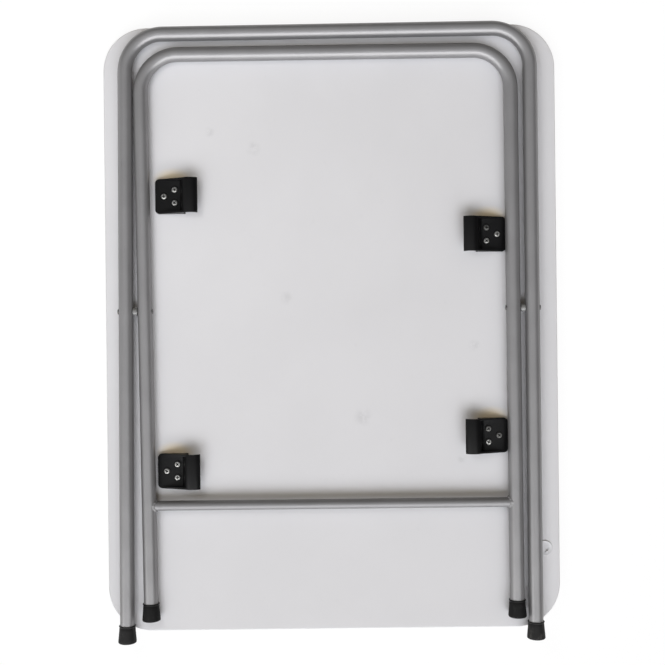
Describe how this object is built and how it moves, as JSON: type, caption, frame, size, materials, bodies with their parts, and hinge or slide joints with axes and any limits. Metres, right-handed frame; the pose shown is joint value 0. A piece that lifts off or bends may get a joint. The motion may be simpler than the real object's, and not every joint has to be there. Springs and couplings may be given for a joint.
{
  "type": "folding table",
  "caption": "Packed-flat folding table: a white moulded top lying face down, with black bar hooks and a folded crossed-leg tube stand resting on its underside.",
  "frame": {"origin": "centre of the tabletop's working face, on which the packed table lies", "axes": "+Z from the working face to the underside and the stand; +Y along the legs towards the crossbars; +X across the legs"},
  "size_m": [0.602, 0.8152, 0.0493],
  "materials": {
    "white_plastic": "white moulded polyethylene, satin, fine grain",
    "silver_paint": "silver-grey semi-gloss metallic paint on steel tube",
    "black_plastic": "black moulded plastic, satin",
    "foot_rubber": "black rubbery plastic, matt",
    "zinc_screw": "bright zinc plating",
    "rivet_steel": "dull zinc-plated steel",
    "nylon": "off-white nylon"
  },
  "bodies": {
    "tabletop": {"tabletop_panel": "white_plastic", "mould_plug": "white_plastic", "hook_wide_upper": "black_plastic", "hook_wide_lower": "black_plastic", "hook_narrow_upper": "black_plastic", "hook_narrow_lower": "black_plastic", "screws_wide_upper": "zinc_screw", "screws_wide_lower": "zinc_screw", "screws_narrow_upper": "zinc_screw", "screws_narrow_lower": "zinc_screw"},
    "stand_pivot": {"pivot_rivet_left": "rivet_steel", "pivot_rivet_right": "rivet_steel", "pivot_spacer_left": "nylon", "pivot_spacer_right": "nylon"},
    "outer_frame": {"outer_frame_tube": "silver_paint", "foot_outer_left": "foot_rubber", "foot_outer_right": "foot_rubber"},
    "inner_frame": {"inner_frame_tube": "silver_paint", "inner_stretcher": "silver_paint", "stretcher_weld_left": "silver_paint", "stretcher_weld_right": "silver_paint", "foot_inner_left": "foot_rubber", "foot_inner_right": "foot_rubber"}
  },
  "joints": [
    {"name": "stand_lift", "type": "slide", "parent": "tabletop", "child": "stand_pivot", "axis": [0, 0, 1], "range_m": [0, 0.276]},
    {"name": "outer_swing", "type": "hinge", "parent": "stand_pivot", "child": "outer_frame", "pos_m": [-0.003, 0.0235, 0.0373], "axis": [1, 0, 0], "range_deg": [0, 31.6]},
    {"name": "inner_swing", "type": "hinge", "parent": "stand_pivot", "child": "inner_frame", "pos_m": [-0.003, 0.0235, 0.0373], "axis": [1, 0, 0], "range_deg": [-31.6, 0]}
  ],
  "couplings": [
    {"joint": "inner_swing", "follows": "outer_swing", "ratio": -1},
    {"joint": "stand_lift", "follows": "outer_swing", "m_per_rad": 0.5}
  ]
}
